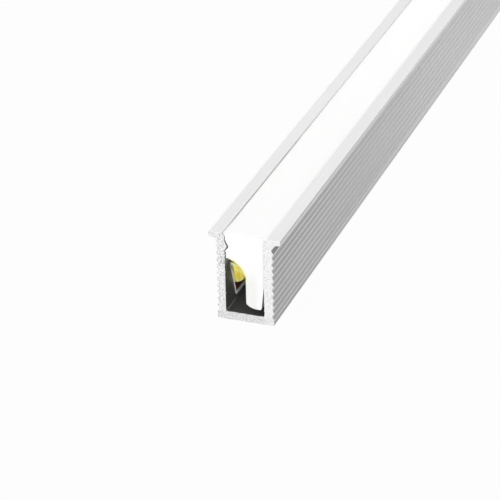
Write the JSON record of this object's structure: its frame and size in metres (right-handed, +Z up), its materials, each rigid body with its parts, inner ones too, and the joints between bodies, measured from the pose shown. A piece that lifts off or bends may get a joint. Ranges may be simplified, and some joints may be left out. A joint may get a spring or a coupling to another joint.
{
  "type": "recessed led strip profile",
  "caption": "Slim recessed aluminium channel with flanges and ribbed sides, an opal diffuser with a side leg, and a continuous LED strip on its inner wall.",
  "frame": {"origin": "centre of the channel's underside, halfway along its length", "axes": "+Y along the profile away from the end with the slanted strip cut, +Z up through the lit face, +X towards the wall beside the diffuser's leg"},
  "size_m": [0.01, 0.154, 0.0128],
  "materials": {
    "anodised_aluminium": "satin natural anodised, saw-cut ends bare",
    "opal_diffuser": "milky opal, satin",
    "adhesive_tape": "matt film",
    "circuit_board": "white solder mask, satin",
    "phosphor_gel": "soft silicone filled with yellow phosphor",
    "chip": "polished crystal",
    "copper_pad": "bare copper, dull",
    "resistor": "black top, tinned ends"
  },
  "bodies": {
    "root": {"channel": "anodised_aluminium", "diffuser": "opal_diffuser", "strip_tape": "adhesive_tape", "strip_board": "circuit_board", "phosphor_gel": "phosphor_gel", "led_chips": "chip", "pad_positive_1": "copper_pad", "pad_positive_2": "copper_pad", "pad_positive_3": "copper_pad", "pad_positive_4": "copper_pad", "pad_negative_1": "copper_pad", "pad_negative_2": "copper_pad", "pad_negative_3": "copper_pad", "pad_negative_4": "copper_pad", "resistor_near_1": "resistor", "resistor_near_2": "resistor", "resistor_near_3": "resistor", "resistor_far_1": "resistor", "resistor_far_2": "resistor", "resistor_far_3": "resistor"}
  },
  "joints": []
}
